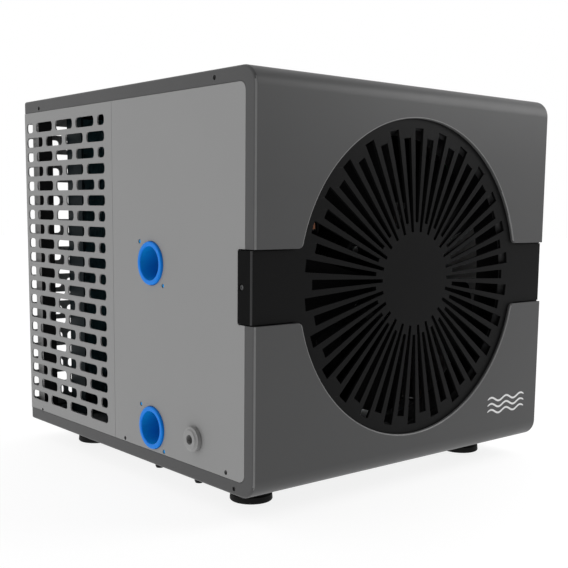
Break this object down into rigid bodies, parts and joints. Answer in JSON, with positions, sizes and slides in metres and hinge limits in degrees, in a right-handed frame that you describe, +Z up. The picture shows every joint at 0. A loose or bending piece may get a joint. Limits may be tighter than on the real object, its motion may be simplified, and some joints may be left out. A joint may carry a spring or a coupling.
{
  "type": "heat pump unit",
  "caption": "Compact free-standing swimming-pool heat pump: boxy case with a round front fan grille, wrap-around band, slotted rear guard, two water unions and a cable gland on the left side.",
  "frame": {"origin": "centre of the unit's footprint, on the surface its four rubber feet stand on", "axes": "-Y is the front with the fan grille, -X the left side with the water unions, +X the right side with the controls, +Z up"},
  "size_m": [0.3274, 0.336, 0.307],
  "materials": {
    "dark_cover": "fine-textured satin powder coat, dark grey",
    "grey_panel": "fine-textured satin powder coat, mid grey",
    "black_plastic": "satin moulded plastic",
    "fan_plastic": "satin moulded plastic",
    "blue_plastic": "smooth moulded plastic, bright blue",
    "grey_plastic": "satin moulded plastic, grey",
    "white_plastic": "satin moulded plastic, off-white",
    "rubber": "matt black rubber",
    "steel": "galvanised or plated sheet",
    "black_steel": "satin black enamel",
    "aluminium": "thin pressed fins",
    "copper": "drawn copper tube",
    "board": "green circuit board",
    "lens": "smoked clear plastic"
  },
  "bodies": {
    "housing": {"upper_cover": "dark_cover", "lower_cover": "dark_cover", "front_grille": "black_plastic", "left_side_panel": "grey_panel", "right_side_panel": "grey_panel", "rear_guard": "grey_panel", "corner_post_left": "grey_panel", "corner_post_right": "grey_panel", "base_pan": "steel", "foot_front_left": "rubber", "foot_front_right": "rubber", "foot_rear_left": "rubber", "foot_rear_right": "rubber", "base_screw_left_1": "black_steel", "base_screw_left_2": "black_steel", "base_screw_right_1": "black_steel", "base_screw_right_2": "black_steel", "water_outlet_union": "blue_plastic", "water_inlet_union": "blue_plastic", "outlet_gasket": "rubber", "inlet_gasket": "rubber", "cable_gland": "grey_plastic", "gland_locknut": "grey_plastic", "exchanger_shell": "grey_plastic", "exchanger_top_cap": "grey_plastic", "exchanger_bottom_cap": "grey_plastic", "flow_switch": "black_plastic", "fan_motor": "steel", "motor_bracket": "steel", "fan_shroud": "black_steel", "compressor_shell": "black_steel", "compressor_foot_plate": "black_steel", "compressor_grommet_1": "rubber", "compressor_grommet_2": "rubber", "compressor_grommet_3": "rubber", "suction_accumulator": "black_steel", "terminal_cover": "black_plastic", "discharge_pipe": "copper", "liquid_pipe": "copper", "filter_drier": "copper", "expansion_pipe": "copper", "suction_pipe": "copper", "evaporator_fins": "aluminium", "evaporator_end_plate_left": "steel", "evaporator_end_plate_right": "steel", "electric_box": "black_plastic", "electric_box_lid": "black_plastic", "control_board": "board", "terminal_block": "white_plastic", "run_capacitor": "aluminium", "control_bezel": "black_plastic", "display_window": "lens", "display_module": "board"},
    "fan": {"fan_rotor": "fan_plastic", "fan_nut": "black_plastic", "motor_shaft": "steel"},
    "power": {"power_button": "white_plastic"},
    "mode": {"mode_button": "white_plastic"},
    "down": {"down_button": "white_plastic"},
    "up": {"up_button": "white_plastic"}
  },
  "joints": [
    {"name": "fan_spin", "type": "hinge", "parent": "housing", "child": "fan", "pos_m": [0, -0.141, 0.162], "axis": [0, 1, 0], "continuous": true},
    {"name": "power_press", "type": "slide", "parent": "housing", "child": "power", "axis": [-1, 0, 0], "range_m": [0, 0.001], "stiffness_N_per_m": 600},
    {"name": "mode_press", "type": "slide", "parent": "housing", "child": "mode", "axis": [-1, 0, 0], "range_m": [0, 0.001], "stiffness_N_per_m": 600},
    {"name": "down_press", "type": "slide", "parent": "housing", "child": "down", "axis": [-1, 0, 0], "range_m": [0, 0.001], "stiffness_N_per_m": 600},
    {"name": "up_press", "type": "slide", "parent": "housing", "child": "up", "axis": [-1, 0, 0], "range_m": [0, 0.001], "stiffness_N_per_m": 600}
  ]
}
